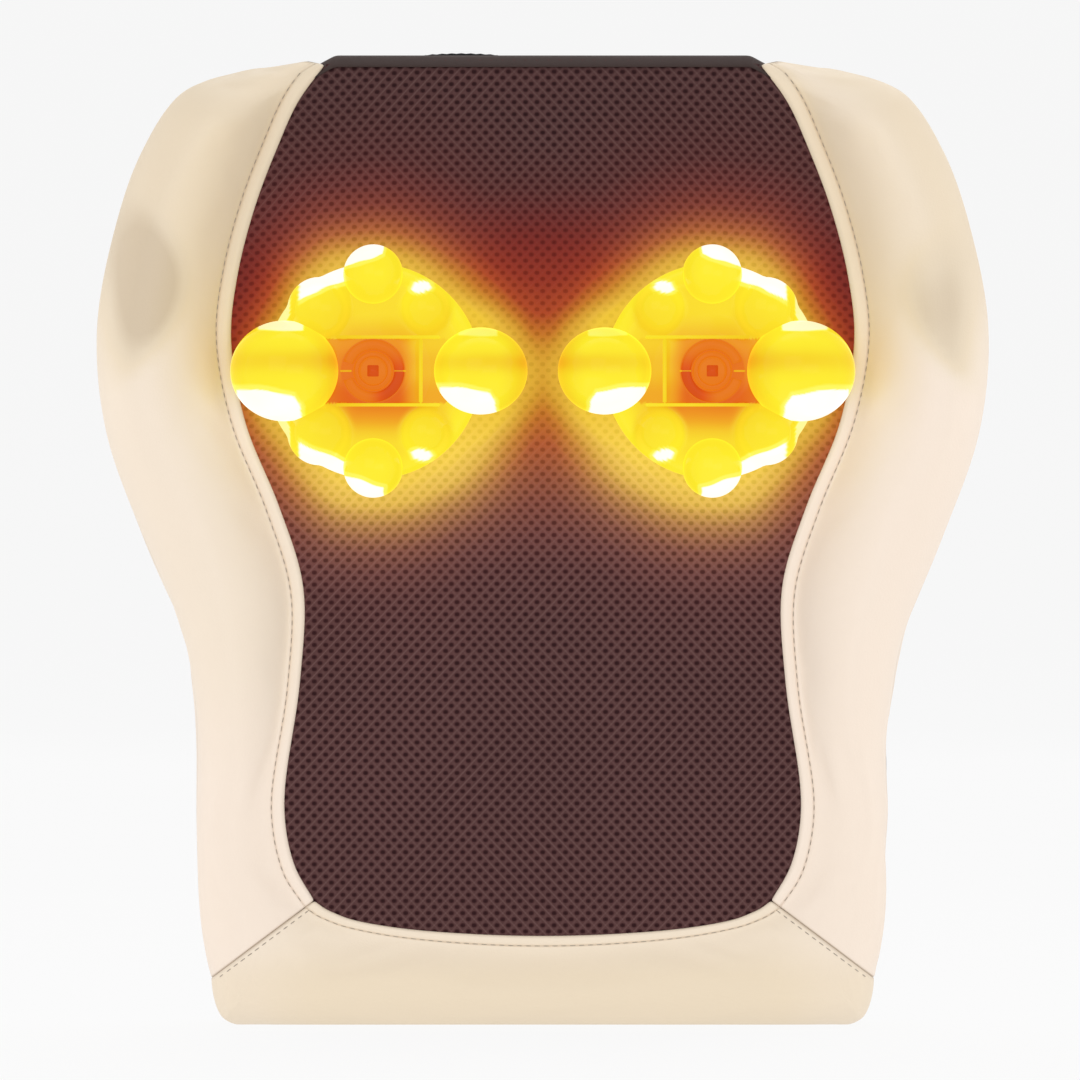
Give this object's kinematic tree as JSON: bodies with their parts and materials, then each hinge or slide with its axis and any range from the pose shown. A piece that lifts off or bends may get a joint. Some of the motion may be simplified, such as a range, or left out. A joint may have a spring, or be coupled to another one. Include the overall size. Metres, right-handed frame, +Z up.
{
  "type": "shiatsu neck massager",
  "caption": "Upright padded massage cushion with leather-covered side bolsters, a knitted mesh face and two counter-rotating, lamp-lit massage heads driven by one worm motor.",
  "frame": {"origin": "on the floor under the middle of the cushion's bounding box", "axes": "+X to the viewer's right, -Y out of the massaging face, +Z up along the backrest"},
  "size_m": [0.3306, 0.108, 0.3631],
  "materials": {
    "cream_leather": "soft synthetic leather, fine grain, satin",
    "brown_mesh": "knitted spacer mesh with staggered oval holes",
    "black_fabric": "plain woven backing, webbing and zip tape",
    "foam": "open-cell foam",
    "case_plastic": "moulded, fine texture",
    "grey_plastic": "moulded, satin",
    "head_plastic": "translucent silicone lit from inside",
    "hub_plastic": "translucent orange plastic",
    "gear_plastic": "acetal",
    "steel": "turned steel",
    "zinc": "dark plated zinc",
    "brass": "sintered bronze",
    "board": "printed circuit board"
  },
  "bodies": {
    "case": {"left_wing_cover": "cream_leather", "right_wing_cover": "cream_leather", "bottom_cover": "cream_leather", "mesh_face": "brown_mesh", "back_panel": "black_fabric", "upper_strap": "black_fabric", "lower_strap": "black_fabric", "top_gusset": "black_fabric", "hanging_loop": "black_fabric", "zip_chain": "black_fabric", "left_wing_foam": "foam", "right_wing_foam": "foam", "bottom_foam": "foam", "lower_core_foam": "foam", "upper_core_foam": "foam", "front_shell": "case_plastic", "rear_shell": "case_plastic", "motor_end_cap": "case_plastic", "control_housing": "case_plastic", "power_socket": "case_plastic", "gearbox_cover": "grey_plastic", "gearbox_base": "grey_plastic", "case_screw_1": "steel", "case_screw_2": "steel", "case_screw_3": "steel", "case_screw_4": "steel", "motor_can": "steel", "left_head_front_bearing": "steel", "left_head_rear_bearing": "steel", "right_head_front_bearing": "steel", "right_head_rear_bearing": "steel", "left_worm_bush": "brass", "right_worm_bush": "brass", "left_lamp_board": "board", "right_lamp_board": "board", "control_board": "board", "motor_board": "board"},
    "left_head": {"left_head_outer_ball": "head_plastic", "left_head_inner_ball": "head_plastic", "left_head_top_ball": "head_plastic", "left_head_bottom_ball": "head_plastic", "left_head_carrier": "head_plastic", "left_head_retaining_clip": "hub_plastic", "left_head_hub_screw": "hub_plastic", "left_head_shaft": "steel", "left_head_worm_wheel": "gear_plastic"},
    "right_head": {"right_head_outer_ball": "head_plastic", "right_head_inner_ball": "head_plastic", "right_head_top_ball": "head_plastic", "right_head_bottom_ball": "head_plastic", "right_head_carrier": "head_plastic", "right_head_retaining_clip": "hub_plastic", "right_head_hub_screw": "hub_plastic", "right_head_shaft": "steel", "right_head_worm_wheel": "gear_plastic"},
    "worm": {"worm_shaft": "steel"},
    "power_button": {"power_button": "grey_plastic"},
    "zip_slider": {"zip_slider": "zinc"},
    "zip_pull": {"zip_pull": "zinc"}
  },
  "joints": [
    {"name": "left_head_spin", "type": "hinge", "parent": "case", "child": "left_head", "pos_m": [-0.063, 0.012, 0.244], "axis": [0, 1, 0], "continuous": true},
    {"name": "right_head_spin", "type": "hinge", "parent": "case", "child": "right_head", "pos_m": [0.063, 0.012, 0.244], "axis": [0, 1, 0], "continuous": true},
    {"name": "worm_spin", "type": "hinge", "parent": "case", "child": "worm", "pos_m": [0, 0.012, 0.224], "axis": [1, 0, 0], "continuous": true},
    {"name": "power_button_press", "type": "slide", "parent": "case", "child": "power_button", "axis": [-1, 0, 0], "range_m": [0, 0.001], "stiffness_N_per_m": 400, "springref_m": -0.001},
    {"name": "zip_slide", "type": "slide", "parent": "case", "child": "zip_slider", "axis": [1, 0, 0], "range_m": [0, 0.126]},
    {"name": "zip_pull_flip", "type": "hinge", "parent": "zip_slider", "child": "zip_pull", "pos_m": [-0.064, 0.05362, 0.078], "axis": [0, 0, -1], "range_deg": [0, 170]}
  ],
  "couplings": [
    {"joint": "right_head_spin", "follows": "left_head_spin", "ratio": -1},
    {"joint": "worm_spin", "follows": "left_head_spin", "ratio": 24}
  ]
}
